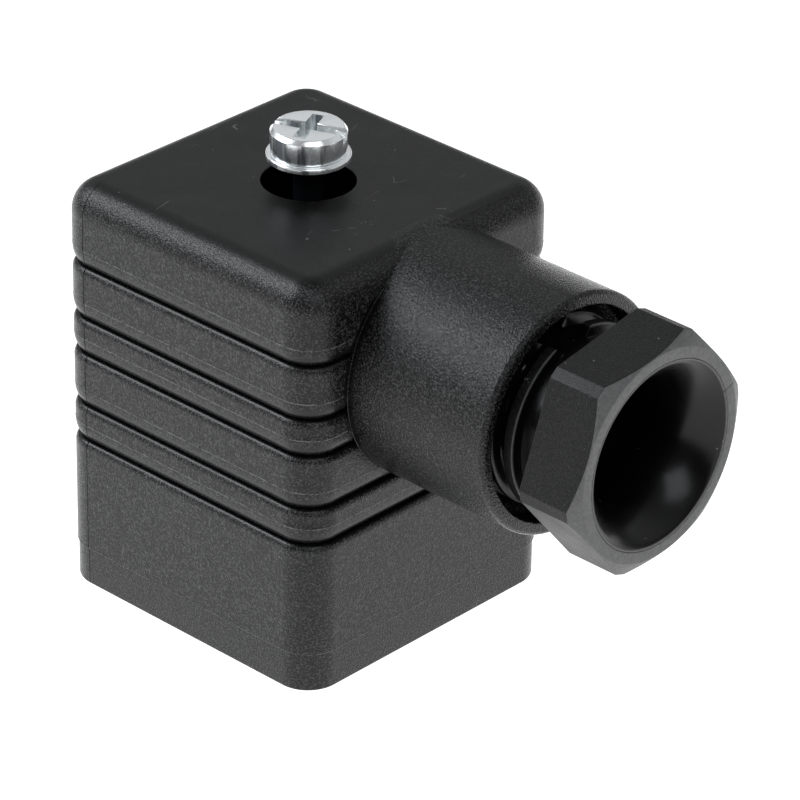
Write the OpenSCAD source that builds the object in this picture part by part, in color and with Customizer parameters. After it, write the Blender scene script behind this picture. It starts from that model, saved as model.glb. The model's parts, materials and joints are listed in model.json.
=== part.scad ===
// Cable connector for a solenoid valve, 27.5 mm square form A pattern.
// Origin: centre of the mating plane, on the fixing screw's axis. +X is the cable gland, +Z is up.

/* [Housing] */
// Width and depth of the square housing
body_w = 27.5; // [27:0.1:29]
// Height of the housing
body_h = 35; // [34.5:0.1:36]
// Radius of the four upright corners
corner_r = 2.95; // [2.8:0.05:3.5]
// Rounding of the top edge
top_edge_r = 2.5; // [1.5:0.1:2.7]
// Wall thickness of the housing
wall = 1.5; // [1.4:0.1:1.7]
// Height of the plain block below the ribs
lower_block_h = 12.85; // [12:0.05:13.5]
// Height of each narrow rib
narrow_rib_h = 3.12; // [2.8:0.02:3.3]
// Height of each wide rib
wide_rib_h = 4.55; // [4:0.05:4.8]
// Depth of the grooves between the ribs
groove_d = 0.6; // [0.3:0.05:0.8]

/* [Cable gland] */
// Height of the gland's axis above the mating plane
gland_z = 25.15; // [25:0.05:25.4]
// Outer radius of the gland boss
boss_r = 9.75; // [9.5:0.05:9.8]
// Distance of the boss's end from the screw's axis
boss_end = 27.4; // [27:0.1:28]
// Crest radius of the gland thread
thread_r = 7.6; // [7.4:0.05:7.8]
// Pitch of the gland thread
thread_pitch = 1.41; // [1.2:0.01:1.5]
// Width across the flats of the clamping nut
nut_af = 17.2; // [17:0.1:17.6]
// Length of the nut's hexagon
nut_hex_l = 5.35; // [5:0.05:6]
// Gap between the boss and the hexagon
nut_gap = 3.45; // [3.4:0.05:4]
// Radius of the nut's cable bore
cable_bore_r = 4.9; // [4.5:0.1:5.2]
// Turn of the hexagon about the gland's axis
nut_phase = 40; // [0:1:59]

/* [Fixing screw] */
// Radius of the screw's thread
screw_r = 1.5; // [1.45:0.05:1.5]
// Length of the screw under its head
screw_l = 35; // [34:0.5:36]
// Radius of the screw's head
head_r = 3; // [2.8:0.05:3.1]
// Height of the screw's head
head_h = 2.1; // [1.9:0.1:2.4]
// Radius of the captive washer
washer_r = 3.32; // [3.2:0.02:3.4]
// Turn of the driver slot about the screw's axis
slot_turn = 23.5; // [0:0.5:180]
// How far the washer stands above the housing's top
screw_raise = 1.95; // [0:0.05:3]
// Radius of the recess that takes the head
recess_r = 3.68; // [3.6:0.02:3.8]

/* [Contacts] */
// Distance of each contact from the screw's axis
contact_pitch_r = 9; // [8.9:0.05:9.1]
// Width of the flat blade that each contact takes
blade_w = 6.3; // [6.2:0.05:6.4]
// Thickness of that blade
blade_t = 0.8; // [0.75:0.05:0.85]

/* [Hidden] */
$fn = 64;
eps = 0.01;

// Directions of the four contacts about the screw's axis
angle_1 = 90;
angle_2 = 270;
angle_3 = 0;
angle_earth = 180;

// Housing
groove_z = [
    lower_block_h,
    lower_block_h + narrow_rib_h,
    lower_block_h + narrow_rib_h + wide_rib_h,
    lower_block_h + 2 * narrow_rib_h + wide_rib_h,
    lower_block_h + 2 * narrow_rib_h + 2 * wide_rib_h
];
crease_rise = 0.15;
crease_half_w = 0.06;
shoulder_h = 0.64;
shoulder_inset = 0.38;
upper_rib_h = 1.44;
upper_rib_inset = 0.45;
foot_band_h = 3.35;
foot_band_inset = 0.12;
cavity_w = body_w - 2 * wall;
cavity_r = corner_r - wall;
cavity_top = body_h - 3.2;
keyway_w = 3.2;
keyway_d = 0.5;
tube_r = 5.2;
tube_bottom = 25;
ledge_z = body_h - 6.5;
screw_way_r = 1.75;

// Cable gland, measured along +X
boss_start = 11.6;
lip_r = 0.45;
mouth_r = 8.65;
mouth_d = 3;
thread_depth = 0.45;
fit_gap = 0.05;
seat_x = body_w / 2;
stop_hole_r = 5.2;
grommet_x = seat_x + 0.3;
grommet_l = 6.9;
grommet_r = 7.3;
grommet_bore_r = 3.6;
ring_t = 1;
ring_gap = 0.05;
ring_r = 7.3;
ring_bore_r = 5.1;
nut_rear = grommet_x + grommet_l + ring_t + 2 * ring_gap;
hex_rear = boss_end + nut_gap;
hex_front = hex_rear + nut_hex_l;
hex_corner_r = nut_af / 2 + 1.05;
chamfer_r = nut_af / 2 - 0.06;
chamfer_angle = 30;
flare_r = 5.6;
flare_mouth_r = 7.45;
flare_angle = acos(1 - (flare_mouth_r - cable_bore_r) / flare_r);
undercut_r = 6.75;
undercut_l = 2.45;

// Fixing screw
washer_t = 0.5;
washer_z = body_h + screw_raise;
head_z = washer_z + washer_t;
head_bevel_h = 0.5;
head_top_r = head_r - 0.65;
slot_w = 0.9;
slot_d = 0.85;
cross_l = 4.2;
cross_w = 1;
cross_d = 1.3;
tip_chamfer = 0.45;
seal_t = 1.2;
seal_r = recess_r - 0.1;
seal_bore_r = screw_r + 0.12;

// Insert and gasket
face_z = 0.3;
gasket_top = 2;
gasket_bottom = 0.4;
plug_w = cavity_w - 3;
insert_w = cavity_w - 0.2;
insert_r = cavity_r + 0.1;
deck_z = 9.5;
column_r = 4.4;
column_top = 20.5;
barrier_t = 1.4;
barrier_top = 16.5;
key_w = keyway_w - 0.3;
slot_face_t = 0.9;
pocket_w = blade_w + 0.6;
pocket_t = blade_t + 1.6;
mouth_slot_t = blade_t + 0.6;
face_recess_r = 3.2;
face_recess_d = 1.4;

// Contacts and terminals, measured at the +X place
leaf_t = 0.35;
leaf_w = blade_w - 0.3;
leaf_gap = blade_t - 0.1;
leaf_low_z = 1.4;
leaf_web_z = 8.6;
web_t = 0.45;
box_x = 7.4;
box_l = 5.4;
box_w = 6.2;
box_h = 6;
window_l = 3.5;
window_low = 0.8;
window_h = 3.5;
plate_t = 0.8;
plate_l = window_l - 0.2;
plate_w = box_w + 0.6;
plate_top = deck_z + window_low + window_h - 0.1;
terminal_r = 1.2;
terminal_hole_r = 1.27;
terminal_head_r = 2.1;
terminal_head_h = 1.5;
terminal_head_z = 17.8;
terminal_slot_w = 0.6;
terminal_slot_d = 0.8;

// Points [height, inset] round one groove: rounded shoulder of the rib below, sharp crease,
// then the gently curved foot of the rib above
function groove_points(z) = concat(
    [for (a = [0 : 45 : 90]) [
        z + crease_rise - crease_half_w - shoulder_h * (1 - sin(a)),
        shoulder_inset * (1 - cos(a))
    ]],
    [[z + crease_rise, groove_d]],
    [for (t = [0 : 0.5 : 1]) [
        z + crease_rise + crease_half_w + upper_rib_h * t,
        upper_rib_inset * (1 - t) * (1 - t)
    ]]
);

// Points [height, inset] of the whole side, from the bottom to the top face
skin_points = concat(
    [[0, foot_band_inset], [foot_band_h, foot_band_inset], [foot_band_h, 0]],
    [for (z = groove_z) each groove_points(z)],
    [for (a = [0 : 15 : 90]) [
        body_h - top_edge_r * (1 - sin(a)),
        top_edge_r * (1 - cos(a))
    ]]
);

// Crests and roots of a ring thread from start to end, as [radius, distance]
function thread_points(start, end, crest, root, pitch) = [
    for (i = [0 : floor((end - start) / pitch) - 1], p = [0 : 3])
        [p == 1 || p == 2 ? root : crest, start + pitch * (i + [0.3, 0.5, 0.8, 1][p])]
];

module rounded_square(w, r) {
    square([w, w - 2 * r], center = true);
    square([w - 2 * r, w], center = true);
    for (x = [-1, 1], y = [-1, 1])
        translate([x * (w / 2 - r), y * (w / 2 - r)]) circle(r);
}

module rounded_block(w, r, low, high) {
    translate([0, 0, low]) linear_extrude(height = high - low) rounded_square(w, r);
}

module along_gland(x) {
    translate([x, 0, gland_z]) rotate([0, 90, 0]) children();
}

// Outer form of the ribbed body: four turned corners and two extruded slabs
module skin() {
    span = body_w - 2 * corner_r;
    for (x = [-1, 1], y = [-1, 1])
        translate([x * span / 2, y * span / 2, 0])
            rotate_extrude()
                polygon(concat(
                    [[0, 0]],
                    [for (p = skin_points) [corner_r - p[1], p[0]]],
                    [[0, body_h]]
                ));
    for (turn = [0, 90])
        rotate([90, 0, turn])
            linear_extrude(height = span, center = true)
                polygon(concat(
                    [for (p = skin_points) [body_w / 2 - p[1], p[0]]],
                    [for (i = [len(skin_points) - 1 : -1 : 0])
                        [skin_points[i][1] - body_w / 2, skin_points[i][0]]]
                ));
}

module boss_form() {
    length = boss_end - boss_start;
    along_gland(boss_start)
        rotate_extrude($fn = 96)
            polygon(concat(
                [[0, 0], [boss_r, 0]],
                [for (a = [0 : 22.5 : 90]) [
                    boss_r - lip_r * (1 - cos(a)),
                    length - lip_r * (1 - sin(a))
                ]],
                [[0, length]]
            ));
}

// Room inside the boss: grommet seat, female thread and mouth
module boss_room() {
    bore_r = thread_r + fit_gap;
    thread_start = nut_rear - 3.2 - seat_x;
    thread_end = boss_end - mouth_d - seat_x;
    length = boss_end - seat_x;
    along_gland(seat_x)
        rotate_extrude($fn = 96)
            polygon(concat(
                [[0, 0], [bore_r, 0]],
                thread_points(thread_start, thread_end, bore_r, bore_r + thread_depth, thread_pitch),
                [[bore_r, thread_end], [mouth_r, thread_end + 0.8], [mouth_r, length + 1], [0, length + 1]]
            ));
    along_gland(boss_start - 3)
        cylinder(r = stop_hole_r, h = seat_x - boss_start + 4);
}

module screw_tube() {
    difference() {
        translate([0, 0, tube_bottom])
            cylinder(r = tube_r, h = cavity_top - tube_bottom + 0.5);
        translate([0, 0, tube_bottom - 1])
            cylinder(r = screw_way_r, h = cavity_top);
        translate([0, 0, ledge_z])
            cylinder(r = recess_r, h = body_h);
    }
}

module housing() {
    color([0.07, 0.07, 0.075])
        union() {
            difference() {
                union() {
                    skin();
                    boss_form();
                }
                rounded_block(cavity_w, cavity_r, -1, cavity_top);
                for (turn = [0 : 90 : 270])
                    rotate([0, 0, turn])
                        translate([cavity_w / 2 - 1, -keyway_w / 2, -1])
                            cube([1 + keyway_d, keyway_w, deck_z + 1.5]);
                boss_room();
                translate([0, 0, ledge_z])
                    cylinder(r = recess_r, h = body_h);
            }
            screw_tube();
        }
}

module contact_place(angle) {
    rotate([0, 0, angle]) translate([contact_pitch_r, 0, 0]) children();
}

module contact_insert() {
    color([0.2, 0.2, 0.21])
        difference() {
            union() {
                rounded_block(plug_w, 1.2, face_z, gasket_top + eps);
                rounded_block(insert_w, insert_r, gasket_top, deck_z);
                for (turn = [0 : 90 : 270])
                    rotate([0, 0, turn])
                        translate([insert_w / 2 - 1, -key_w / 2, gasket_top])
                            cube([1.4, key_w, deck_z - gasket_top]);
                translate([0, 0, deck_z - 1])
                    cylinder(r = column_r, h = column_top - deck_z + 1);
                intersection() {
                    rounded_block(insert_w, insert_r, deck_z - 1, barrier_top);
                    for (turn = [45, 135])
                        rotate([0, 0, turn])
                            translate([-body_w, -barrier_t / 2, deck_z - 1])
                                cube([2 * body_w, barrier_t, barrier_top]);
                }
            }
            translate([0, 0, -1])
                cylinder(r = screw_way_r, h = column_top + 2);
            translate([0, 0, -1])
                cylinder(r = face_recess_r, h = face_z + face_recess_d + 1);
            for (angle = [angle_1, angle_2, angle_3, angle_earth])
                contact_place(angle) {
                    translate([-pocket_t / 2, -pocket_w / 2, face_z + slot_face_t])
                        cube([pocket_t, pocket_w, deck_z]);
                    translate([-mouth_slot_t / 2, -pocket_w / 2, -1])
                        cube([mouth_slot_t, pocket_w, 3]);
                }
        }
}

module flange_gasket() {
    color([0.16, 0.15, 0.15])
        difference() {
            rounded_block(insert_w, insert_r, gasket_bottom, gasket_top);
            rounded_block(plug_w + 0.1, 1.25, -1, gasket_top + 1);
        }
}

module fixing_screw() {
    color([0.75, 0.78, 0.8])
        difference() {
            translate([0, 0, head_z])
                rotate_extrude()
                    polygon([
                        [0, -screw_l], [screw_r - tip_chamfer, -screw_l],
                        [screw_r, tip_chamfer - screw_l], [screw_r, 0],
                        [head_r, 0], [head_r, head_h - head_bevel_h],
                        [head_top_r, head_h], [0, head_h]
                    ]);
            rotate([0, 0, slot_turn])
                translate([-head_r - 1, -slot_w / 2, head_z + head_h - slot_d])
                    cube([2 * head_r + 2, slot_w, slot_d + 1]);
            for (turn = [0, 90])
                rotate([0, 0, slot_turn + turn])
                    translate([-cross_l / 2, -cross_w / 2, head_z + head_h - cross_d])
                        cube([cross_l, cross_w, cross_d + 1]);
        }
}

module fixing_screw_washer() {
    color([0.75, 0.78, 0.8])
        translate([0, 0, washer_z])
            difference() {
                cylinder(r = washer_r, h = washer_t - 0.02);
                translate([0, 0, -1])
                    cylinder(r = screw_r + 0.08, h = washer_t + 2);
            }
}

module fixing_screw_seal() {
    color([0.12, 0.12, 0.12])
        translate([0, 0, ledge_z])
            difference() {
                cylinder(r = seal_r, h = seal_t);
                translate([0, 0, -1])
                    cylinder(r = seal_bore_r, h = seal_t + 2);
            }
}

// Six-sided head with narrow flats on its corners and a turned front chamfer
module nut_head() {
    length = hex_front - hex_rear;
    chamfer_run = (hex_corner_r + 1 - chamfer_r) * tan(chamfer_angle);
    intersection() {
        rotate([0, 0, nut_phase])
            cylinder(r = nut_af / 2 / cos(30), h = length, $fn = 6);
        rotate([0, 0, nut_phase + 30])
            cylinder(r = hex_corner_r / cos(30), h = length, $fn = 6);
        rotate_extrude($fn = 96)
            polygon([
                [0, 0], [hex_corner_r + 1, 0], [hex_corner_r + 1, length - chamfer_run],
                [chamfer_r, length], [0, length]
            ]);
    }
}

module gland_nut() {
    shank_l = hex_rear - nut_rear;
    thread_end = shank_l - undercut_l;
    flare_x = hex_front - nut_rear - flare_r * sin(flare_angle);
    color([0.06, 0.06, 0.065])
        along_gland(nut_rear)
            difference() {
                union() {
                    rotate_extrude($fn = 96)
                        polygon(concat(
                            [[0, 0], [thread_r - 0.3, 0], [thread_r, 0.3]],
                            thread_points(0.3, thread_end, thread_r, thread_r - thread_depth, thread_pitch),
                            [
                                [thread_r, thread_end], [undercut_r, thread_end + 0.3],
                                [undercut_r, shank_l + 0.5], [0, shank_l + 0.5]
                            ]
                        ));
                    translate([0, 0, shank_l]) nut_head();
                }
                rotate_extrude($fn = 96)
                    polygon(concat(
                        [[0, -1], [cable_bore_r, -1]],
                        [for (a = [0 : flare_angle / 6 : flare_angle + eps]) [
                            cable_bore_r + flare_r * (1 - cos(a)),
                            flare_x + flare_r * sin(a)
                        ]],
                        [[flare_mouth_r, hex_front - nut_rear + 1], [0, hex_front - nut_rear + 1]]
                    ));
            }
}

module gland_ring(x, length, outer_r, inner_r) {
    along_gland(x)
        difference() {
            cylinder(r = outer_r, h = length, $fn = 96);
            translate([0, 0, -1])
                cylinder(r = inner_r, h = length + 2, $fn = 96);
        }
}

module gland_thrust_ring() {
    color([0.85, 0.85, 0.82])
        gland_ring(grommet_x + grommet_l + ring_gap, ring_t, ring_r, ring_bore_r);
}

module gland_grommet() {
    color([0.13, 0.13, 0.13])
        gland_ring(grommet_x, grommet_l, grommet_r, grommet_bore_r);
}

// Bent leaf of a contact: lead-in at the bottom, waist that grips the blade, web above
module contact_leaf() {
    inner = leaf_gap / 2;
    rotate([90, 0, 0])
        linear_extrude(height = leaf_w, center = true)
            polygon([
                [inner + 0.35, leaf_low_z], [inner + 0.35 + leaf_t, leaf_low_z],
                [inner + leaf_t, leaf_low_z + 1.4], [inner + 0.2 + leaf_t, leaf_web_z + web_t],
                [0, leaf_web_z + web_t], [0, leaf_web_z], [inner + 0.2, leaf_web_z],
                [inner, leaf_low_z + 1.4]
            ]);
}

module contact(angle) {
    color([0.78, 0.76, 0.7])
        contact_place(angle) {
            contact_leaf();
            mirror([1, 0, 0]) contact_leaf();
            translate([-0.5, -leaf_w / 3, leaf_web_z + web_t - eps])
                cube([1, leaf_w / 1.5, deck_z - leaf_web_z - web_t + eps]);
        }
}

module terminal_place(angle) {
    rotate([0, 0, angle]) translate([box_x, 0, 0]) children();
}

module terminal_box(angle) {
    color([0.8, 0.7, 0.4])
        terminal_place(angle)
            difference() {
                translate([-box_l / 2, -box_w / 2, deck_z])
                    cube([box_l, box_w, box_h]);
                translate([-window_l / 2, -box_w, deck_z + window_low])
                    cube([window_l, 2 * box_w, window_h]);
                translate([0, 0, deck_z + window_low + 1])
                    cylinder(r = terminal_hole_r, h = box_h);
            }
}

module clamp_plate(angle) {
    color([0.75, 0.75, 0.72])
        terminal_place(angle)
            translate([-plate_l / 2, -plate_w / 2, plate_top - plate_t])
                cube([plate_l, plate_w, plate_t]);
}

module terminal_screw(angle) {
    shank_low = plate_top + 0.05;
    color([0.72, 0.74, 0.76])
        terminal_place(angle)
            difference() {
                union() {
                    translate([0, 0, shank_low])
                        cylinder(r = terminal_r, h = terminal_head_z - shank_low + eps);
                    translate([0, 0, terminal_head_z])
                        cylinder(r = terminal_head_r, h = terminal_head_h);
                }
                translate([
                    -terminal_head_r - 1, -terminal_slot_w / 2,
                    terminal_head_z + terminal_head_h - terminal_slot_d
                ])
                    cube([2 * terminal_head_r + 2, terminal_slot_w, terminal_slot_d + 1]);
            }
}

housing();
contact_insert();
flange_gasket();
fixing_screw();
fixing_screw_washer();
fixing_screw_seal();
gland_nut();
gland_thrust_ring();
gland_grommet();
contact(angle_1);  // contact_1
contact(angle_2);  // contact_2
contact(angle_3);  // contact_3
contact(angle_earth);  // contact_earth
terminal_box(angle_1);  // terminal_box_1
terminal_box(angle_2);  // terminal_box_2
terminal_box(angle_3);  // terminal_box_3
terminal_box(angle_earth);  // terminal_box_earth
clamp_plate(angle_1);  // clamp_plate_1
clamp_plate(angle_2);  // clamp_plate_2
clamp_plate(angle_3);  // clamp_plate_3
clamp_plate(angle_earth);  // clamp_plate_earth
terminal_screw(angle_1);  // terminal_screw_1
terminal_screw(angle_2);  // terminal_screw_2
terminal_screw(angle_3);  // terminal_screw_3
terminal_screw(angle_earth);  // terminal_screw_earth
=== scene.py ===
"""Looks of the square solenoid valve connector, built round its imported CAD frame.

Lengths inside the making functions are millimetres, in the part's own frame.
"""
import json
import math

import bmesh
import bpy
from mathutils import Matrix, Vector


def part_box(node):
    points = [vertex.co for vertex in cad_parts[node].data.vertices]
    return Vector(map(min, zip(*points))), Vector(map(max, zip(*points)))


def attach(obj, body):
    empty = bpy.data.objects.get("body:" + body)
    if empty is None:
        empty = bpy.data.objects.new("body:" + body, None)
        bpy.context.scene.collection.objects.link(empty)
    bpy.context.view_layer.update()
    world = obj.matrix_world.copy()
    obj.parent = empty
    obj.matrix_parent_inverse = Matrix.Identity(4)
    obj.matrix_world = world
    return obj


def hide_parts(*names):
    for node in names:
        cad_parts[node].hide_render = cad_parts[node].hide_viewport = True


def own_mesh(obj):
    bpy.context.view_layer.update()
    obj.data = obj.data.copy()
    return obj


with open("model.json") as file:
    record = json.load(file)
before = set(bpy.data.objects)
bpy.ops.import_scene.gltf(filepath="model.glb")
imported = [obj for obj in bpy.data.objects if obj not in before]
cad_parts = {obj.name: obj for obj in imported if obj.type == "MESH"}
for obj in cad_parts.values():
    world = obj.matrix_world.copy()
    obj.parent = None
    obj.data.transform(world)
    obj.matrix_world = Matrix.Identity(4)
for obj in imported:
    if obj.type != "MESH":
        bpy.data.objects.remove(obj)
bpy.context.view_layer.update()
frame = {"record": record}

MM = 0.001
TAU = 2 * math.pi


# -------------------- sizes from the frame

def span(node):
    """Lowest and highest corner of a CAD node, in millimetres."""
    low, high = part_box(node)
    return low / MM, high / MM


def mount_place(name):
    """Place of a named mount, in millimetres."""
    mounts = frame["record"]["mounts"]
    return next(Vector(m["pos_m"]) / MM for m in mounts if m["name"] == name)


HOUSING_LOW, HOUSING_HIGH = span("housing")
INSERT_LOW, INSERT_HIGH = span("contact_insert")
GASKET_LOW, GASKET_HIGH = span("flange_gasket")
SCREW_LOW, SCREW_HIGH = span("fixing_screw")
WASHER_LOW, WASHER_HIGH = span("fixing_screw_washer")
SEAL_LOW, SEAL_HIGH = span("fixing_screw_seal")
NUT_LOW, NUT_HIGH = span("gland_nut")
RING_LOW, RING_HIGH = span("gland_thrust_ring")
GROMMET_LOW, GROMMET_HIGH = span("gland_grommet")

BODY_W = HOUSING_HIGH.y - HOUSING_LOW.y
BODY_H = HOUSING_HIGH.z
BOSS_END = HOUSING_HIGH.x
GLAND_Z = mount_place("cable_entry").z
SEAT_X = BODY_W / 2

# housing, with the CAD source's sizes except for deeper grooves
CORNER_R = 2.95
TOP_EDGE_R = 2.5
WALL = 1.5
FOOT_BAND_H = 3.35
FOOT_BAND_INSET = 0.12
LOWER_BLOCK_H = 12.85
NARROW_RIB_H = 3.12
WIDE_RIB_H = 4.55
GROOVE_DEPTH = 0.8
RIB_STEPS = (0, NARROW_RIB_H, WIDE_RIB_H, NARROW_RIB_H, WIDE_RIB_H)
CAVITY_W = BODY_W - 2 * WALL
CAVITY_TOP = BODY_H - 3.2
BOSS_R = 9.75
BOSS_ROOT_FILLET = 0.06
LIP_R = 0.45
WIRE_WAY_R = 5.2
MOUTH_R = 8.65
MOUTH_DEPTH = 3
TUBE_R = 5.2
TUBE_BOTTOM = 25
RECESS_R = 3.68
LEDGE_Z = SEAL_LOW.z
SCREW_WAY_R = 1.75

# fine lines on the housing: the ribs' faces lie in by RIB_FACE, so that the lines can stand out
RIB_FACE = 0.02
WITNESS_HALF = 0.05
WITNESS_RISE = 1.62
SEAM = 0.045

# cable gland, its angles in degrees from +Y towards +Z
THREAD_R = 7.6
THREAD_PITCH = 1.41
NUT_AF = 17.2
HEX_REAR = BOSS_END + 3.45
CABLE_BORE_R = 4.9
FLARE_R = 5.6
FLARE_MOUTH_R = 7.45
NUT_FRONT_R = NUT_AF / 2 - 0.06
NUT_CORNER_R = NUT_AF / 2 + 1.05
NUT_CORNER_ANGLE = 10
NUT_NECK_R = 6.75
THREAD_DEPTH = 0.85
THREAD_CREST_X = 27.9
THREAD_CREST_ANGLE = 113
THREAD_FLAT_ANGLE = 98.5
THREAD_FLAT_HALF = 12.8
COLLAR_W = 1.05
HAIRLINE_TILT = math.radians(20.6)

# fixing screw
SHANK_CORE_R = 1.2
SCREW_HEAD_H = 2.1
SLOT_TURN = math.radians(23.5)
CROSS_HALF_L = 2.15
CROSS_HALF_W = 0.5

# insert and terminals
DECK_Z = 9.5
WALL_TOP = 16.5
POCKET_HALF_W = 3.45
CONTACT_R = 9
TERMINAL_R = 7.4
TERMINALS = {"1": 90, "2": 270, "3": 0, "earth": 180}

# stage: the camera as solved on the photograph, its distance in metres
CAMERA_AZIMUTH = math.radians(43.01)
CAMERA_ELEVATION = math.radians(28.98)
CAMERA_ROLL = math.radians(0.986)
CAMERA_AIM = Vector((5.701, 4.606, 16.061)) * MM
CAMERA_DISTANCE = 0.38045
CAMERA_LENS = 217.97
FLOOR_DROP = 28.2
FLOOR_GLOW = 1.12
LAMP_COLOUR = (0.93, 0.96, 1)
LAMP_AIM = Vector((0.004, 0, 0.02))
WORLD_LEVELS = ((0.1, 0.08), (0.36, 0.57), (0.6, 0.57), (1.0, 0.26))
DARK_SIDE = (0.68, -0.73, 0)
DARK_LEVEL = 0.05


def groove_heights():
    """Heights of the five grooves round the housing."""
    heights, z = [], LOWER_BLOCK_H
    for step in RIB_STEPS:
        z += step
        heights.append(z)
    return heights


# -------------------- mesh helpers

RING_X_STEPS = 96


def limited(value, low=0, high=1):
    return min(max(value, low), high)


def quarter(height, inset, steps):
    """(drop, draw-in) pairs over a rounded edge, from its foot to its top."""
    angles = [math.radians(90 * i / steps) for i in range(steps + 1)]
    return [(height * (1 - math.sin(a)), inset * (1 - math.cos(a))) for a in angles]


def rounded_path(corners, steps=4, closed=True):
    """Points of an outline given as (x, y, radius) corners, each rounded by its radius."""
    points = []
    count = len(corners)
    for i, (x, y, radius) in enumerate(corners):
        here = Vector((x, y))
        if radius <= 0 or (not closed and i in (0, count - 1)):
            points.append(here)
            continue
        back = (Vector(corners[i - 1][:2]) - here).normalized()
        ahead = (Vector(corners[(i + 1) % count][:2]) - here).normalized()
        half = back.angle(ahead) / 2
        middle = here + (back + ahead).normalized() * radius / math.sin(half)
        start = here + back * radius / math.tan(half) - middle
        end = here + ahead * radius / math.tan(half) - middle
        turn = math.pi - 2 * half
        for k in range(steps + 1):
            t = k / steps
            share = (math.sin((1 - t) * turn), math.sin(t * turn))
            points.append(middle + (start * share[0] + end * share[1]) / math.sin(turn))
    return [tuple(p) for p in points]


def new_object(name, data):
    """Object with a mesh, lamp or camera, linked into the scene."""
    item = bpy.data.objects.new(name, data)
    bpy.context.scene.collection.objects.link(item)
    return item


def skinned(name, rings, wrap=False):
    """Closed mesh through equal rings of points, capped at both ends unless it wraps round."""
    width, count = len(rings[0]), len(rings)
    faces = []
    for i in range(count if wrap else count - 1):
        a, b = i * width, (i + 1) % count * width
        for j in range(width):
            k = (j + 1) % width
            faces.append((a + j, a + k, b + k, b + j))
    if not wrap:
        faces.append(tuple(range(width)))
        faces.append(tuple((count - 1) * width + j for j in range(width)))
    mesh = bpy.data.meshes.new(name)
    mesh.from_pydata([Vector(p) * MM for ring in rings for p in ring], [], faces)
    shape = bmesh.new()
    shape.from_mesh(mesh)
    bmesh.ops.recalc_face_normals(shape, faces=shape.faces)
    shape.to_mesh(mesh)
    shape.free()
    return new_object(name, mesh)


def ring_z(radius, z, steps=64):
    """Ring about the screw's axis."""
    angles = [TAU * i / steps for i in range(steps)]
    return [(radius * math.cos(a), radius * math.sin(a), z) for a in angles]


def ring_x(radius, x):
    """Ring about the gland's axis, its angle measured from +Y towards +Z."""
    angles = [TAU * i / RING_X_STEPS for i in range(RING_X_STEPS)]
    return [(x, radius * math.cos(a), GLAND_Z + radius * math.sin(a)) for a in angles]


def turned_z(name, profile, wrap=False, steps=64):
    """Turned solid about the screw's axis from (radius, z) points."""
    return skinned(name, [ring_z(r, z, steps) for r, z in profile], wrap)


def turned_x(name, profile, wrap=False):
    """Turned solid about the gland's axis from (radius, x) points."""
    return skinned(name, [ring_x(r, x) for r, x in profile], wrap)


def square_ring(width, radius, z, inset, steps, seam=0.0):
    """Ring round a square with rounded corners, drawn in by the inset, with a mould seam in one side."""
    centre, r = width / 2 - radius, radius - inset
    ring = []
    for quarter in range(4):
        sx, sy = ((1, 1), (-1, 1), (-1, -1), (1, -1))[quarter]
        for i in range(steps + 1):
            a = math.radians(90 * (quarter + i / steps))
            ring.append((sx * centre + r * math.cos(a), sy * centre + r * math.sin(a), z))
        if seam and quarter == 2:
            ring.append((-centre + seam, -centre - r + seam, z))
            ring.append((-centre + 2 * seam, -centre - r, z))
    return ring


def square_corners(half_x, half_y):
    return [(-half_x, -half_y), (half_x, -half_y), (half_x, half_y), (-half_x, half_y)]


def block(name, low, high):
    """Plain cutter between two corners."""
    (x0, y0, z0), (x1, y1, z1) = low, high
    return skinned(name, [[(x0, y0, z), (x1, y0, z), (x1, y1, z), (x0, y1, z)] for z in (z0, z1)])


def prism_y(name, outline, low, high):
    """Outline of (x, z) points drawn out along Y."""
    return skinned(name, [[(x, y, z) for x, z in outline] for y in (low, high)])


def spin(piece, angle):
    """Turns a piece's mesh about the screw's axis."""
    piece.data.transform(Matrix.Rotation(angle, 4, "Z"))
    return piece


def move_out(piece, distance, turn):
    """Moves a piece's mesh out along +X from the screw's axis, then turns it about that axis."""
    piece.data.transform(Matrix.Translation((distance * MM, 0, 0)))
    return spin(piece, turn)


def bake(piece):
    """Applies the modifiers of a piece."""
    graph = bpy.context.evaluated_depsgraph_get()
    mesh = bpy.data.meshes.new_from_object(piece.evaluated_get(graph))
    old = piece.data
    piece.modifiers.clear()
    piece.data = mesh
    bpy.data.meshes.remove(old)


def combine(piece, how, *others):
    """Joins a piece with others, or cuts it by them, and deletes the others."""
    for other in others:
        step = piece.modifiers.new(how, "BOOLEAN")
        step.operation = how
        step.solver = "MANIFOLD"
        step.object = other
        bake(piece)
        mesh = other.data
        bpy.data.objects.remove(other)
        bpy.data.meshes.remove(mesh)
    return piece


def cut(piece, *others):
    return combine(piece, "DIFFERENCE", *others)


def join(piece, *others):
    return combine(piece, "UNION", *others)


def round_edges(piece, width, segments, angle):
    """Rounds the edges sharper than the angle, in degrees."""
    step = piece.modifiers.new("round", "BEVEL")
    step.width = width * MM
    step.segments = segments
    step.limit_method = "ANGLE"
    step.angle_limit = math.radians(angle)
    step.use_clamp_overlap = True
    step.miter_outer = "MITER_ARC"
    bake(piece)
    return piece


def place(piece, node, body, material, sharp=32):
    """Shades a finished piece, gives it its material and lets it stand for its CAD node."""
    piece.data.materials.clear()
    piece.data.materials.append(material)
    piece.data.shade_smooth()
    piece.data.set_sharp_from_angle(angle=math.radians(sharp))
    step = piece.modifiers.new("normals", "WEIGHTED_NORMAL")
    step.keep_sharp = True
    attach(piece, body)
    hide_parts(node)
    return piece


# -------------------- material helpers

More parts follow.
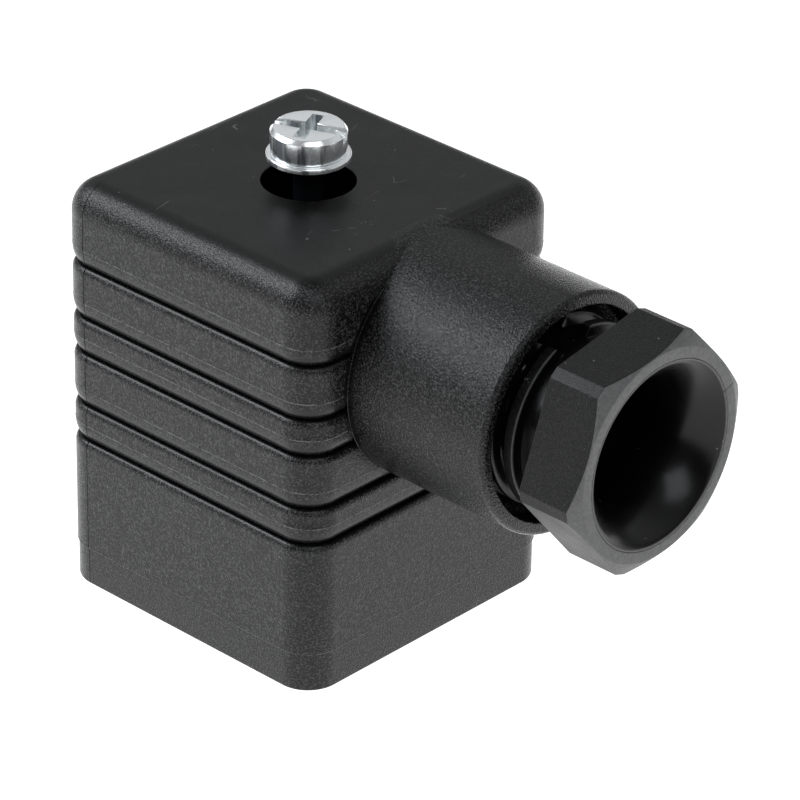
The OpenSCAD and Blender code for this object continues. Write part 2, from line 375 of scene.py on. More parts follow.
class Nodes:
    """Adds and links the nodes of one procedural material."""

    def __init__(self, name):
        self.material = bpy.data.materials.new(name)
        self.material.use_nodes = True
        self.tree = self.material.node_tree
        self.shader = self.tree.nodes["Principled BSDF"]
        self.place = self.add("ShaderNodeTexCoord").outputs["Object"]

    def add(self, kind, **settings):
        node = self.tree.nodes.new(kind)
        for key, value in settings.items():
            setattr(node, key, value)
        return node

    def feed(self, socket, value):
        """Links another node's output to a socket, or sets the socket to a plain value."""
        if isinstance(value, bpy.types.NodeSocket):
            self.tree.links.new(value, socket)
        else:
            socket.default_value = value

    def noise(self, size_mm, detail=2.0, rough=0.5, stretch=(1, 1, 1)):
        """Noise whose features are about size_mm across, from 0 to 1."""
        way = self.add("ShaderNodeMapping")
        self.feed(way.inputs["Vector"], self.place)
        way.inputs["Scale"].default_value = stretch
        node = self.add("ShaderNodeTexNoise")
        self.feed(node.inputs["Vector"], way.outputs["Vector"])
        node.inputs["Scale"].default_value = 1 / (size_mm * MM)
        node.inputs["Detail"].default_value = detail
        node.inputs["Roughness"].default_value = rough
        return node.outputs["Fac"]

    def cells(self, size_mm):
        """Distance to the nearest of points scattered about size_mm apart."""
        node = self.add("ShaderNodeTexVoronoi")
        self.feed(node.inputs["Vector"], self.place)
        node.inputs["Scale"].default_value = 1 / (size_mm * MM)
        return node.outputs["Distance"]

    def ramp(self, value, low, high, out_low=0.0, out_high=1.0, smooth=False):
        """Runs from out_low where the value is low to out_high where it is high, and stays there."""
        node = self.add("ShaderNodeMapRange")
        if smooth:
            node.interpolation_type = "SMOOTHSTEP"
        self.feed(node.inputs["Value"], value)
        node.inputs["From Min"].default_value = low
        node.inputs["From Max"].default_value = high
        node.inputs["To Min"].default_value = out_low
        node.inputs["To Max"].default_value = out_high
        return node.outputs["Result"]

    def math(self, how, a, b=0.0):
        node = self.add("ShaderNodeMath", operation=how)
        self.feed(node.inputs[0], a)
        self.feed(node.inputs[1], b)
        return node.outputs["Value"]

    def chain(self, how, values):
        """Joins values in turn by one operation."""
        result = values[0]
        for value in values[1:]:
            result = self.math(how, result, value)
        return result

    def times(self, *values):
        return self.chain("MULTIPLY", values)

    def most(self, *values):
        return self.chain("MAXIMUM", values)

    def inverse(self, mask):
        return self.math("SUBTRACT", 1.0, mask)

    def radius(self, a, b):
        """Distance from an axis, from the two places across it."""
        return self.math("SQRT", self.math("ADD", self.times(a, a), self.times(b, b)))

    def mix(self, share, a, b):
        """Number between a, at share 0, and b, at share 1."""
        node = self.add("ShaderNodeMix", data_type="FLOAT")
        self.feed(node.inputs[0], share)
        self.feed(node.inputs[2], a)
        self.feed(node.inputs[3], b)
        return node.outputs[0]

    def colour(self, share, a, b):
        """Colour between a, at share 0, and b, at share 1."""
        node = self.add("ShaderNodeMix", data_type="RGBA")
        self.feed(node.inputs[0], share)
        self.feed(node.inputs[6], (*a, 1) if isinstance(a, tuple) else a)
        self.feed(node.inputs[7], (*b, 1) if isinstance(b, tuple) else b)
        return node.outputs[2]

    def normal_part(self, axis):
        """One part of the surface's own normal."""
        way = self.add("ShaderNodeSeparateXYZ")
        self.feed(way.inputs["Vector"], self.add("ShaderNodeTexCoord").outputs["Normal"])
        return way.outputs[axis]

    def place_part(self, axis):
        """One part of the place on the piece, in millimetres."""
        way = self.add("ShaderNodeSeparateXYZ")
        self.feed(way.inputs["Vector"], self.place)
        return self.math("DIVIDE", way.outputs[axis], MM)

    def relief(self, *layers):
        """Stacked bumps of (height, depth in mm, strength)."""
        normal = None
        for height, depth, strength in layers:
            node = self.add("ShaderNodeBump")
            node.inputs["Distance"].default_value = depth * MM
            node.inputs["Filter Width"].default_value = 0.1
            self.feed(node.inputs["Strength"], strength)
            self.feed(node.inputs["Height"], height)
            if normal is not None:
                self.feed(node.inputs["Normal"], normal)
            normal = node.outputs["Normal"]
        self.feed(self.shader.inputs["Normal"], normal)

    def set(self, **sockets):
        """Feeds the shader's sockets, named with _ for a space, and returns the material."""
        for key, value in sockets.items():
            self.feed(self.shader.inputs[key.replace("_", " ")], value)
        return self.material


def grey(level):
    return (level, level, level)


def fine_scratches(n, size_mm, share):
    """Sparse thin scratches: narrow crossings of a stretched noise, in patches."""
    thin = near_lines(n, n.noise(size_mm, 2, 0.5, (1, 0.4, 1)), [0.5], 0.006)
    patch = n.ramp(n.noise(size_mm * 0.6, 1), share, share + 0.04)
    return n.times(thin, patch)


def near_lines(n, coordinate, places, half):
    """1 on thin lines where the coordinate has one of the places, 0 away from them."""
    lines = []
    for line_at in places:
        away = n.math("ABSOLUTE", n.math("SUBTRACT", coordinate, line_at))
        lines.append(n.ramp(away, 0, half, 1, 0))
    return n.most(*lines)


def dust(n, size_mm, share):
    """Sparse pale specks, about a third of size_mm across."""
    speck = n.ramp(n.cells(size_mm), 0.1, 0.22, 1, 0)
    return n.times(speck, n.ramp(n.noise(size_mm * 4, 1), share, share + 0.03))


# -------------------- materials

INK = grey(0.001)
DUST_TONE = (0.16, 0.16, 0.155)


def rib_feet(n, z):
    """1 from each groove's crease up the curved foot of the rib above it."""
    feet = []
    for low in groove_heights():
        feet.append(n.times(n.ramp(z, low - 0.12, low - 0.02), n.ramp(z, low + 1.02, low + 0.9)))
    return n.most(*feet)


def housing_plastic():
    """Black glass-filled polyamide: spark grain on the sides, coarser on the boss, satin top, with painted
    shade on the boss, inside, at the boss's root and at the ribs' feet, and painted highlights on the
    parting lines.
    """
    n = Nodes("housing_plastic")
    x, y, z = (n.place_part(axis) for axis in "XYZ")

    # where the boss, the smooth top, the outer skin and the ribs' feet are
    near_boss = n.ramp(n.radius(y, n.math("SUBTRACT", z, GLAND_Z)), BOSS_R + 0.5, BOSS_R + 0.3)
    boss_root = n.times(n.ramp(x, SEAT_X - 3, SEAT_X - 2.6), near_boss)
    boss = n.most(n.ramp(x, SEAT_X, SEAT_X + 0.3), boss_root)
    not_boss = n.inverse(boss)
    upward = n.ramp(n.normal_part("Z"), 0.72, 0.97, smooth=True)
    top = n.times(upward, n.ramp(z, BODY_H - 2.6, BODY_H - 2.2), not_boss)
    side = n.inverse(top)
    reach = n.most(n.math("ABSOLUTE", x), n.math("ABSOLUTE", y))
    outside = n.ramp(reach, SEAT_X - 1.3, SEAT_X - 1)
    beside_hole = n.ramp(n.radius(x, y), RECESS_R + 0.02, RECESS_R + 0.08)
    above_room = n.ramp(z, BODY_H - 2.7, BODY_H - 2.5)
    seen = n.most(outside, boss, n.times(above_room, beside_hole))
    body = n.times(outside, not_boss)
    foot = n.times(rib_feet(n, z), body)

    # colour: grain, painted shade (the boss darker, the inside near black, the boss's root crease and the
    # ribs' feet dark), then the fine lines: painted highlights on the parting lines and the dark seam
    grain = n.noise(0.15, 2, 0.6)
    coarse = n.noise(0.17, 2, 0.6)
    cloud = n.noise(3.5, 3, 0.6)
    texture = n.mix(boss, grain, coarse)
    tone = n.colour(n.ramp(texture, 0.47, 0.68), INK, (0.058, 0.058, 0.059))
    # painted shade: the whole boss is painted darker than the rest of the body
    tone = n.colour(n.times(boss, 0.3), tone, INK)
    # painted shade: faces not in seen, inside the housing and down the screw hole, are painted near black
    tone = n.colour(seen, grey(0.0008), tone)
    # painted shade: the crease round the boss's root, below the top edge, is painted black
    below_edge = n.ramp(z, BODY_H - 2.4, BODY_H - 2.9)
    crease = n.times(n.ramp(x, SEAT_X + 0.6, SEAT_X + 0.3), boss_root, below_edge)
    tone = n.colour(crease, tone, INK)
    # painted shade: the curved foot of each rib above its groove is painted darker
    tone = n.colour(n.times(foot, 0.8), tone, grey(0.0015))
    # painted highlights: pale lines, broken in patches, along the parting lines on the ribs
    witness_z = [FOOT_BAND_H] + [low + WITNESS_RISE for low in groove_heights()]
    highlight_patches = n.ramp(n.noise(0.5, 3, 0.65), 0.38, 0.6, 0.1, 1)
    pale = n.times(near_lines(n, z, witness_z, 0.07), body, highlight_patches)
    tone = n.colour(pale, tone, grey(0.15))
    seam_side = n.ramp(y, SEAM - SEAT_X + 0.4, SEAM - SEAT_X + 0.3)
    seam = n.times(near_lines(n, x, [CORNER_R - SEAT_X + SEAM], 0.07), seam_side)
    tone = n.colour(seam, tone, INK)

    # the top, with its scratches and dust
    smooth_tone = n.colour(n.ramp(grain, 0.42, 0.7), grey(0.0005), grey(0.008))
    base = n.colour(top, tone, smooth_tone)
    scratch = n.times(fine_scratches(n, 3.2, 0.64), top)
    base = n.colour(n.times(scratch, 0.5), base, grey(0.25))
    base = n.colour(dust(n, 0.4, 0.71), base, DUST_TONE)

    # gloss and relief
    rough_body = n.ramp(texture, 0.3, 0.7, 0.3, 0.2)
    rough_boss = n.ramp(texture, 0.3, 0.7, 0.23, 0.13)
    rough_top = n.ramp(cloud, 0.3, 0.7, 0.34, 0.4)
    rough = n.mix(top, n.mix(boss, rough_body, rough_boss), rough_top)
    grained = n.times(seen, n.mix(foot, 1, 0.3), n.mix(side, 0.05, not_boss))
    n.relief(
        (cloud, 0.05, 0.12),
        (n.noise(0.06, 1.5), 0.012, n.mix(side, 0.25, 0.3)),
        (grain, 0.06, grained),
        (coarse, 0.085, boss),
    )
    return n.set(Base_Color=base, Roughness=rough, IOR=1.38)


def nut_plastic():
    """Black polyamide nut: matte flats, a front face painted paler in patches (a painted sheen), a glossy
    flared bore.
    """
    n = Nodes("nut_plastic")
    y = n.place_part("Y")
    z = n.math("SUBTRACT", n.place_part("Z"), GLAND_Z)
    radius = n.radius(y, z)
    bore = n.ramp(radius, FLARE_MOUTH_R - 0.1, FLARE_MOUTH_R + 0.05, 1, 0)
    matte = n.inverse(bore)
    front = n.ramp(n.normal_part("X"), 0.3, 0.5)
    grain = n.noise(0.12, 2.5, 0.6)
    cloud = n.noise(2.6, 3, 0.6)
    # painted sheen: the front face is painted paler in patches
    front_sheen = n.times(front, matte, n.ramp(n.noise(0.3, 3, 0.6), 0.3, 0.7, 0.65, 1))
    base = n.colour(n.ramp(grain, 0.46, 0.7), INK, grey(0.022))
    base = n.colour(n.times(front_sheen, 0.8), base, grey(0.17))

    ring_line = near_lines(n, radius, [FLARE_MOUTH_R + 0.16], 0.05)
    across_z = n.times(z, math.cos(HAIRLINE_TILT))
    off_hairline = n.math("SUBTRACT", across_z, n.times(y, math.sin(HAIRLINE_TILT)))
    hairline = n.times(near_lines(n, off_hairline, [0], 0.06), n.ramp(y, 5, 5.2), matte)
    line = n.times(n.most(ring_line, hairline), front)
    base = n.colour(line, base, INK)
    base = n.colour(bore, base, grey(0.002))
    base = n.colour(dust(n, 0.42, 0.67), base, DUST_TONE)

    rough = n.mix(bore, n.ramp(cloud, 0.3, 0.7, 0.36, 0.44), n.ramp(cloud, 0.3, 0.7, 0.2, 0.28))
    n.relief(
        (cloud, 0.06, 0.15),
        (grain, 0.05, n.mix(matte, 0.03, 0.75)),
        (line, -0.08, 1.0),
        (n.noise(0.06, 1), 0.01, n.mix(front, 0.1, 0.3)),
    )
    return n.set(Base_Color=base, Roughness=rough, IOR=1.36)


def insert_plastic():
    """Dark grey glass-filled polyamide with faint flow marks."""
    n = Nodes("insert_plastic")
    cloud = n.noise(2.2, 3, 0.6, (1, 1, 0.4))
    grain = n.noise(0.12, 2, 0.6)
    base = n.colour(n.ramp(cloud, 0.3, 0.7), (0.028, 0.028, 0.03), (0.045, 0.045, 0.047))
    base = n.colour(n.ramp(grain, 0.68, 0.78, 0, 0.35), base, grey(0.15))
    n.relief((cloud, 0.05, 0.15), (grain, 0.02, 0.3))
    return n.set(Base_Color=base, Roughness=n.ramp(grain, 0.3, 0.7, 0.42, 0.56))


def ring_plastic():
    """Natural acetal: milky, smooth, a little translucent."""
    n = Nodes("ring_plastic")
    cloud = n.noise(1.4, 2)
    base = n.colour(cloud, (0.6, 0.6, 0.56), (0.7, 0.7, 0.66))
    n.relief((n.noise(0.3, 2), 0.01, 0.2))
    n.shader.inputs["Subsurface Weight"].default_value = 0.15
    n.shader.inputs["Subsurface Scale"].default_value = 0.0006
    return n.set(Base_Color=base, Roughness=n.ramp(cloud, 0.3, 0.7, 0.28, 0.38))


def gasket_rubber():
    """Moulded nitrile rubber with a dusty bloom."""
    n = Nodes("gasket_rubber")
    bloom = n.noise(1.1, 4, 0.65)
    grain = n.noise(0.1, 2)
    base = n.colour(n.ramp(bloom, 0.45, 0.75), grey(0.016), (0.05, 0.05, 0.048))
    n.relief((bloom, 0.02, 0.2), (grain, 0.015, 0.35))
    return n.set(Base_Color=base, Roughness=n.ramp(bloom, 0.3, 0.7, 0.6, 0.78))


def zinc_steel():
    """Bright zinc plating, faintly blue, streaked on upright faces, the screw's shank painted dark as
    painted shade.
    """
    n = Nodes("zinc_steel")
    x, y, z = (n.place_part(axis) for axis in "XYZ")
    below_washer = n.ramp(z, WASHER_LOW.z, WASHER_LOW.z - 0.1)
    shank = n.times(below_washer, n.ramp(n.radius(x, y), 1.6, 1.58))
    upright = n.inverse(n.ramp(n.math("ABSOLUTE", n.normal_part("Z")), 0.2, 0.5))
    ripple = n.noise(0.5, 2, 0.5)
    streak = n.noise(1.1, 2, 0.5, (1, 1, 0.12))
    pit = n.noise(0.1, 2, 0.6)
    base = n.colour(n.noise(1.2, 2), (0.94, 0.99, 1.0), grey(1.0))
    dark = n.times(n.ramp(streak, 0.52, 0.62, smooth=True), upright, 0.85)
    base = n.colour(dark, base, (0.14, 0.155, 0.18))
    # painted shade: the screw's shank below the washer is painted dark
    base = n.colour(shank, base, (0.03, 0.035, 0.045))
    n.relief((ripple, 0.03, 0.15), (streak, 0.09, n.mix(upright, 0.02, 0.9)), (pit, 0.006, 0.25))
    return n.set(Base_Color=base, Metallic=0.86, Roughness=n.ramp(pit, 0.3, 0.7, 0.14, 0.26))


def tinned_contact():
    """Tin-plated copper alloy, stamped, with a fine rolling grain."""
    n = Nodes("tinned_contact")
    grain = n.noise(0.09, 3, 0.6, (1, 1, 0.08))
    cloud = n.noise(1.0, 3)
    base = n.colour(cloud, (0.62, 0.61, 0.57), (0.78, 0.77, 0.73))
    n.relief((grain, 0.006, 0.4), (cloud, 0.02, 0.2))
    return n.set(Base_Color=base, Metallic=1.0, Roughness=n.ramp(grain, 0.3, 0.7, 0.28, 0.42))


def brass_terminal():
    """Machined brass with cutter marks and a light tarnish."""
    n = Nodes("brass_terminal")
    marks = n.noise(0.07, 2, 0.5, (1, 1, 0.15))
    tarnish = n.noise(1.3, 4, 0.6)
    base = n.colour(n.ramp(tarnish, 0.4, 0.7), (0.80, 0.60, 0.27), (0.52, 0.36, 0.15))
    n.relief((marks, 0.006, 0.4), (n.noise(0.5, 2), 0.01, 0.2))
    return n.set(Base_Color=base, Metallic=1.0, Roughness=n.ramp(marks, 0.3, 0.7, 0.24, 0.4))


# -------------------- housing

def witness(z):
    """Fine raised parting line on a rib's face."""
    return [(z - WITNESS_HALF, RIB_FACE), (z, 0), (z + WITNESS_HALF, RIB_FACE)]


def groove(z):
    """(height, inset) points from the rounded shoulder below to the curved rib foot above."""
    crease, half, floor_half = z + 0.15, 0.1, 0.03
    shoulder_h, shoulder_in = 0.62, 0.42
    foot_h, foot_in = 1.3, 0.4
    points = []
    for drop, draw_in in quarter(shoulder_h, shoulder_in, 8):
        points.append((crease - half - drop, RIB_FACE + draw_in))
    points += [(crease - floor_half, GROOVE_DEPTH), (crease + floor_half, GROOVE_DEPTH)]
    for i in range(8):
        t = i / 7
        points.append((crease + half + foot_h * t, RIB_FACE + foot_in * (1 - t) ** 2.3))
    return points + witness(z + WITNESS_RISE)


def skin_profile():
    """(height, inset) points up the housing's side and over its rounded top edge."""
    points = [(0, FOOT_BAND_INSET + 0.2), (0.06, FOOT_BAND_INSET + 0.06), (0.2, FOOT_BAND_INSET)]
    points += [(FOOT_BAND_H - 0.08, FOOT_BAND_INSET), (FOOT_BAND_H - 0.02, 0.03)]
    points += [(FOOT_BAND_H + 0.04, 0), (FOOT_BAND_H + 0.14, RIB_FACE)]
    for z in groove_heights():
        points += groove(z)
    for drop, draw_in in quarter(TOP_EDGE_R, TOP_EDGE_R - RIB_FACE, 18):
        points.append((BODY_H - drop, RIB_FACE + draw_in))
    return points


def boss_root_x(z):
    """Where the housing's side or top rounding lies at a height, along +X."""
    rise = limited(z - (BODY_H - TOP_EDGE_R), 0, TOP_EDGE_R - 0.02)
    return SEAT_X - TOP_EDGE_R + math.sqrt(TOP_EDGE_R ** 2 - rise ** 2)


def boss_ring(steps, share, radius_add=0.0, x=None):
    """Ring of the boss, at x or along the housing's skin; share is 0 to 1 over the root fillet."""
    ring = []
    for i in range(steps):
        a = TAU * i / steps
        crown = GLAND_Z + BOSS_R * math.sin(a)
        fillet = BOSS_ROOT_FILLET * limited((BODY_H - 0.2 - crown) / 0.9, 0.04)
        r = BOSS_R + fillet * (1 - math.sin(share * math.pi / 2)) + radius_add
        root = boss_root_x(crown) - 0.03 + fillet * (1 - math.cos(share * math.pi / 2))
        ring.append((root if x is None else x, r * math.cos(a), GLAND_Z + r * math.sin(a)))
    return ring


def boss_solid():
    """Round boss with a small root fillet and a rounded lip."""
    steps, inner_x = 144, 10.6
    rings = [boss_ring(steps, 0, x=inner_x)] + [boss_ring(steps, k / 6) for k in range(7)]
    for share in (0.15, 0.4, 0.7):
        x = SEAT_X + BOSS_ROOT_FILLET + 0.1 + share * (BOSS_END - SEAT_X - 1.2)
        rings.append(boss_ring(steps, 1, x=x))
    for drop, draw_in in quarter(LIP_R, LIP_R, 6):
        rings.append(boss_ring(steps, 1, -draw_in, BOSS_END - drop))
    return skinned("boss", rings)


def thread_wave(turns):
    """Flat-topped wave over whole turns: 1 half-way through a turn, 0 at its ends."""
    flat_half, flank = 0.13, 0.2
    return 1 - limited((abs(turns % 1 - 0.5) - flat_half) / flank)


def female_thread():
    """Cutter of the grommet seat, the thread and the mouth inside the boss."""
    steps, rim = RING_X_STEPS, 0.16
    bore, depth = THREAD_R + 0.05, 0.5
    start, end = NUT_LOW.x - 3.2, BOSS_END - MOUTH_DEPTH
    rings = [ring_x(bore, SEAT_X)]
    rows = int((end - start) / THREAD_PITCH * 12)
    for row in range(rows + 1):
        x = start + (end - start) * row / rows
        fade = min(1, (x - start) / 0.5, (end - x) / 0.2 + 0.02)
        ring = []
        for i in range(steps):
            a = TAU * i / steps
            r = bore + depth * fade * thread_wave(x / THREAD_PITCH - i / steps)
            ring.append((x, r * math.cos(a), GLAND_Z + r * math.sin(a)))
        rings.append(ring)
    for r, x in ((bore + 0.1, end + 0.1), (MOUTH_R - 0.15, end + 0.75), (MOUTH_R, end + 0.95)):
        rings.append(ring_x(r, x))
    for drop, draw_out in quarter(rim, rim, 4):
        rings.append(ring_x(MOUTH_R + draw_out, BOSS_END - drop))
    rings.append(ring_x(MOUTH_R + rim + 0.01, BOSS_END + 1))
    return skinned("room", rings)


def foot_cavity():
    """Cutter of the room inside the housing, with an eased rim at the foot."""
    rim = 0.12
    profile = [(-1, -rim), (-0.001, -rim), (rim / 2, -rim / 3), (rim, 0)]
    profile += [(CAVITY_TOP - 0.3, 0), (CAVITY_TOP - 0.1, 0.08), (CAVITY_TOP, 0.3)]
    return skinned("cavity", [square_ring(CAVITY_W, CORNER_R - WALL, z, i, 10) for z, i in profile])


def screw_tube():
    """Tube that guides the screw inside the housing, hung from its roof."""
    root = CAVITY_TOP + 0.4
    corners = [(TUBE_R, TUBE_BOTTOM, 0.3), (TUBE_R, root, 0), (SCREW_WAY_R, root, 0)]
    corners.append((SCREW_WAY_R, TUBE_BOTTOM, 0.2))
    return turned_z("tube", rounded_path(corners), wrap=True)


def screw_recess():
    """Cutter of the round hole in the top, with a rounded rim."""
    rim = 0.13
    profile = [(RECESS_R, LEDGE_Z)]
    for drop, draw_out in quarter(rim, rim, 5):
        profile.append((RECESS_R + draw_out, BODY_H - drop))
    profile.append((RECESS_R + rim + 0.01, BODY_H + 1))
    return turned_z("recess", profile, steps=96)


def housing(material):
    """Square grooved housing with its boss, hollow inside."""
    skin = [square_ring(BODY_W, CORNER_R, z, i, 18, SEAM) for z, i in skin_profile()]
    body = skinned("housing_shell", skin)
    join(body, boss_solid())
    cut(body, foot_cavity())
    for turn in range(4):
        key = block("key", (CAVITY_W / 2 - 1, -1.6, -1), (CAVITY_W / 2 + 0.5, 1.6, DECK_Z + 0.5))
        cut(body, spin(key, turn * math.pi / 2))
    cut(body, female_thread())
    cut(body, turned_x("wire_way", [(WIRE_WAY_R, 8.6), (WIRE_WAY_R, SEAT_X + 0.5)]))
    join(body, screw_tube())
    cut(body, screw_recess())
    return place(body, "housing", "housing", material, 24)


# -------------------- gland

def nut_outline():
    """(radius, angle) round the hexagon with its narrow corner flats, edges rounded."""
    flats = []
    for k in range(6):
        flats.append((NUT_CORNER_ANGLE + 60 * k, NUT_CORNER_R))
        flats.append((NUT_CORNER_ANGLE + 60 * k + 30, NUT_AF / 2))
    corners = []
    for i, (angle, reach) in enumerate(flats):
        other, far = flats[(i + 1) % 12]
        a, b = math.radians(angle), math.radians(other)
        det = math.sin(b - a)
        x = (reach * math.sin(b) - far * math.sin(a)) / det
        y = (far * math.cos(a) - reach * math.cos(b)) / det
        corners.append((x, y, 0.28))
    path = rounded_path(corners, 3)
    points = []
    for i, here in enumerate(path):
        ahead = path[(i + 1) % len(path)]
        gap = math.dist(here, ahead)
        parts = 18 if gap > 3 else 4 if gap > 0.4 else 1
        for k in range(parts):
            x = here[0] + (ahead[0] - here[0]) * (k / parts)
            y = here[1] + (ahead[1] - here[1]) * (k / parts)
            points.append((math.hypot(x, y), math.atan2(y, x)))
    return points


def nut_thread(x, angle):
    """Radius of the nut's thread and collar, broken by a moulding flat on two opposite sides."""
    start, end = NUT_LOW.x + 0.4, HEX_REAR - 2.4
    collar, collar_edge = end - COLLAR_W, 0.14
    off_flat = abs(math.degrees(angle) % 180 - THREAD_FLAT_ANGLE)
    gate = limited((min(off_flat, 180 - off_flat) - THREAD_FLAT_HALF) / 1.5)
    fade = limited((x - start) / 0.5)
    crest = THREAD_CREST_X - THREAD_PITCH * (1 - (math.degrees(angle) - THREAD_CREST_ANGLE) / 360)
    wave = 1 - thread_wave((x - crest) / THREAD_PITCH + 0.5)
    wave *= limited((collar - 0.8 - x) / 0.3)
    if x > collar:
        wave = min((x - collar) / collar_edge, max((end - x) / collar_edge, 0), 1)
    root = THREAD_R - THREAD_DEPTH if x < collar - 0.5 else NUT_NECK_R
    return root + (THREAD_R - root) * wave * gate * fade


def nut_column(reach, angle):
    """(x, radius) points along the nut at one angle, round from the rear bore edge and back."""
    rear, front = NUT_LOW.x, NUT_HIGH.x
    points = [(rear + 0.15, CABLE_BORE_R), (rear + 0.04, CABLE_BORE_R + 0.06), (rear, CABLE_BORE_R + 0.2)]
    points += [(rear, 6.5), (rear + 0.1, 6.7)]
    rows, low, high = 76, rear + 0.3, HEX_REAR - 1.9
    for row in range(rows + 1):
        x = low + (high - low) * row / rows
        points.append((x, nut_thread(x, angle)))
    points += [(HEX_REAR - 0.3, NUT_NECK_R), (HEX_REAR - 0.09, 6.84), (HEX_REAR, 7.05)]
    run = (reach - NUT_FRONT_R) * math.tan(math.radians(30))
    slant = math.hypot(run, reach - NUT_FRONT_R)
    corners = [(HEX_REAR, 7.5, 0), (HEX_REAR, reach, 0.2), (front - run, reach, min(0.2, slant * 0.8))]
    corners += [(front, NUT_FRONT_R, min(0.16, slant * 1.5)), (front, FLARE_MOUTH_R + 0.12, 0)]
    points += rounded_path(corners, 3, closed=False)
    sweep = math.acos(1 - (FLARE_MOUTH_R - CABLE_BORE_R) / FLARE_R)
    flare_x = front - FLARE_R * math.sin(sweep)
    points.append((front - 0.015, FLARE_MOUTH_R + 0.05))
    mouth_share = 0.985
    for i in range(17):
        a = sweep * (mouth_share - i / 16 * mouth_share)
        points.append((flare_x + FLARE_R * math.sin(a), CABLE_BORE_R + FLARE_R * (1 - math.cos(a))))
    points.append((flare_x - 3, CABLE_BORE_R))
    return points


def gland_nut(material):
    """Hexagon nut with its threaded neck and flared bore, made as columns round its axis."""
    columns = []
    for reach, angle in nut_outline():
        column = nut_column(reach, angle)
        columns.append([(x, r * math.cos(angle), GLAND_Z + r * math.sin(angle)) for x, r in column])
    piece = skinned("gland_nut_body", list(zip(*columns)), wrap=True)
    return place(piece, "gland_nut", "gland_nut", material, 28)


def thrust_ring(material):
    """Plain ring between the nut and the grommet."""
    low, high, inner, outer = RING_LOW.x, RING_HIGH.x, 5.1, 7.3
    profile = rounded_path([(inner, low, 0.2), (outer, low, 0.2), (outer, high, 0.2), (inner, high, 0.3)])
    piece = turned_x("thrust_ring_turned", profile, wrap=True)
    return place(piece, "gland_thrust_ring", "thrust_ring", material)


def grommet(material):
    """Ribbed rubber ring that the nut squeezes on the cable."""
    low, high = GROMMET_LOW.x, GROMMET_HIGH.x
    outer, inner = 7.25, 3.6
    corners = [(inner + 0.5, low, 0.3), (outer - 0.2, low, 0.3)]
    for k in range(3):
        x = low + 1.4 + k * 2
        corners += [(outer - 0.05, x - 0.4, 0.1), (outer - 0.5, x, 0.15), (outer - 0.05, x + 0.4, 0.1)]
    corners += [(outer - 0.3, high, 0.4), (inner + 0.9, high, 0.4)]
    for k in range(3):
        x = high - 1.5 - k * 1.9
        corners += [(inner, x + 0.45, 0.15), (inner + 0.4, x, 0.15), (inner, x - 0.45, 0.15)]
    piece = turned_x("grommet_ribbed", rounded_path(corners, 3), wrap=True)
    place(piece, "gland_grommet", "housing", material, 50)
    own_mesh(piece)
    return piece


# -------------------- fixing screw

def metric_shank(low, high, thread_top, crest, root, pitch, neck, steps):
    """Rings of a threaded shank with a chamfered tip, its upper part a plain neck."""
    rings = [ring_z(root * 0.7, low, steps), ring_z(root, low + 0.3, steps)]
    rows = int((thread_top - low - 0.4) / pitch * 8)
    for row in range(rows + 1):
        z = low + 0.4 + row * pitch / 8
        fade = min(1, (z - low - 0.3) / pitch, (thread_top - z) / pitch + 0.05)
        ring = []
        for i in range(steps):
            a = TAU * i / steps
            t = (z / pitch - i / steps) % 1
            r = root + (crest - root) * max(fade, 0) * (1 - abs(2 * t - 1)) ** 0.8
            ring.append((r * math.cos(a), r * math.sin(a), z))
        rings.append(ring)
    rings += [ring_z(neck, thread_top + 0.2, steps), ring_z(neck, high, steps)]
    return rings


def drive(top, width, length, depth, turn, flare=0.0):
    """Cutter of a driver slot, wider at the mouth by the flare on each side."""
    half, wide = width / 2, width / 2 + flare
    section = [(half, -depth), (half, -flare - 0.02), (wide, 0.02), (wide, 1)]
    section = [(-y, z) for y, z in section] + section[::-1]
    ends = [[(x, y, top + z) for y, z in section] for x in (-length / 2, length / 2)]
    return spin(skinned("drive", ends), turn)


def cross_arm(top, turn):
    """Cutter of one arm of the cross drive, narrower at its floor."""
    corners = square_corners(CROSS_HALF_L, CROSS_HALF_W)
    rings = [[(x * k, y * k, z) for x, y in corners] for z, k in ((top - 1.3, 0.9), (top + 0.4, 0.99))]
    return spin(skinned("cross", rings), turn)


def fixing_screw(material):
    """M3 screw with a round head, a slot and a cross, threaded on its lower end only."""
    low, top = SCREW_LOW.z, SCREW_HIGH.z
    head, steps = top - SCREW_HEAD_H, 64
    thread_top, crest, pitch = low + 13, 1.49, 0.5
    rings = metric_shank(low, head - 0.1, thread_top, crest, SHANK_CORE_R, pitch, SHANK_CORE_R, steps)
    corners = [(SHANK_CORE_R, head, 0), (2.97, head, 0.12), (3, top - 0.34, 0.06), (2.72, top, 0.12)]
    corners.append((0.5, top, 0))
    rings += [ring_z(r, z, steps) for r, z in rounded_path(corners, closed=False)]
    piece = skinned("fixing_screw_m3", rings)
    cut(piece, drive(top, 0.86, 8, 0.75, SLOT_TURN, 0.2))
    for turn in (0, math.pi / 2):
        cut(piece, cross_arm(top, SLOT_TURN + turn))
    round_edges(piece, 0.1, 3, 40)
    return place(piece, "fixing_screw", "fixing_screw", material, 40)


def fixing_washer(material):
    """Captive washer under the screw's head."""
    low, high, inner, outer = WASHER_LOW.z, WASHER_HIGH.z, 1.58, 3.32
    profile = [(inner, low, 0.05), (outer, low, 0.08), (outer, high, 0.16), (inner, high, 0.05)]
    piece = turned_z("washer_pressed", rounded_path(profile, 5), wrap=True, steps=96)
    return place(piece, "fixing_screw_washer", "screw_washer", material)


def fixing_seal(material):
    """Rubber ring at the bottom of the screw's hole."""
    low, high, inner, outer = SEAL_LOW.z, SEAL_HIGH.z, 1.62, 3.58
    profile = [(inner, low, 0.2), (outer, low, 0.2), (outer, high, 0.35), (inner, high, 0.3)]
    piece = turned_z("screw_seal_ring", rounded_path(profile), wrap=True)
    return place(piece, "fixing_screw_seal", "housing", material)


